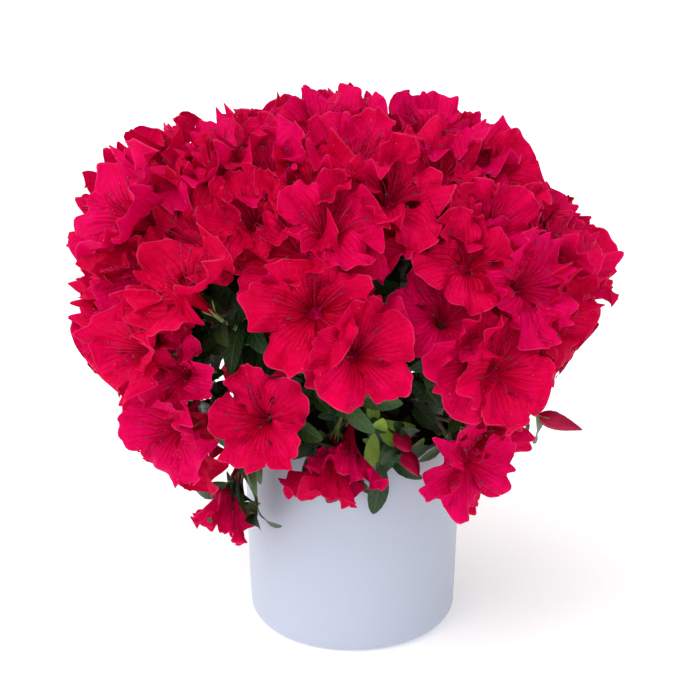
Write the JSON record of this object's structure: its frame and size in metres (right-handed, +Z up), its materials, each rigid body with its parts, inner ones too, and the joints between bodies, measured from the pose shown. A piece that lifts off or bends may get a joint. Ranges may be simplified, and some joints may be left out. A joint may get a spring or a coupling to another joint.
{
  "type": "potted azalea shrub in bloom",
  "caption": "Small evergreen shrub covered in ruffled crimson funnel-shaped blooms, on a short woody stem in a plain white cylinder pot.",
  "frame": {"origin": "centre of the flat underside of the pot, on the surface that it stands on", "axes": "+Z up along the axis of the pot; the front of the plant faces -Y and its right is +X"},
  "size_m": [0.4129, 0.3964, 0.4232],
  "materials": {
    "pot": "smooth satin glaze, pale blue-white",
    "potting_mix": "moist dark peat with bark crumbs",
    "bark": "thin grey-brown bark with fine cracks",
    "blossom": "soft crimson petals, slightly translucent",
    "leaf": "leathery dark green, satin upper face",
    "young_leaf": "soft light green new growth",
    "stamen": "smooth pink-red filaments with dark tips"
  },
  "bodies": {
    "root": {"pot": "pot", "potting_mix": "potting_mix", "stem": "bark", "bough_top": "bark", "bough_upper_front": "bark", "bough_upper_left": "bark", "bough_upper_right": "bark", "bough_upper_back_right": "bark", "bough_upper_back_left": "bark", "bough_left": "bark", "bough_front_left": "bark", "bough_front": "bark", "bough_front_right": "bark", "bough_right": "bark", "bough_back_right": "bark", "bough_back": "bark", "bough_back_left": "bark", "bough_low_left": "bark", "bough_low_front": "bark", "bough_low_right": "bark", "bough_side_right": "bark", "bough_hanging_left": "bark", "bough_rim_front": "bark", "bough_rim_right": "bark", "bough_low_back_right": "bark", "bough_low_back_left": "bark", "mass_top": "blossom", "mass_upper_front": "blossom", "mass_upper_left": "blossom", "mass_upper_right": "blossom", "mass_upper_back_right": "blossom", "mass_upper_back_left": "blossom", "mass_left": "blossom", "mass_front_left": "blossom", "mass_front": "blossom", "mass_front_right": "blossom", "mass_right": "blossom", "mass_back_right": "blossom", "mass_back": "blossom", "mass_back_left": "blossom", "mass_low_left": "blossom", "mass_low_front": "blossom", "mass_low_right": "blossom", "mass_side_right": "blossom", "mass_hanging_left": "blossom", "mass_rim_front": "blossom", "mass_rim_right": "blossom", "mass_low_back_right": "blossom", "mass_low_back_left": "blossom"}
  },
  "joints": []
}
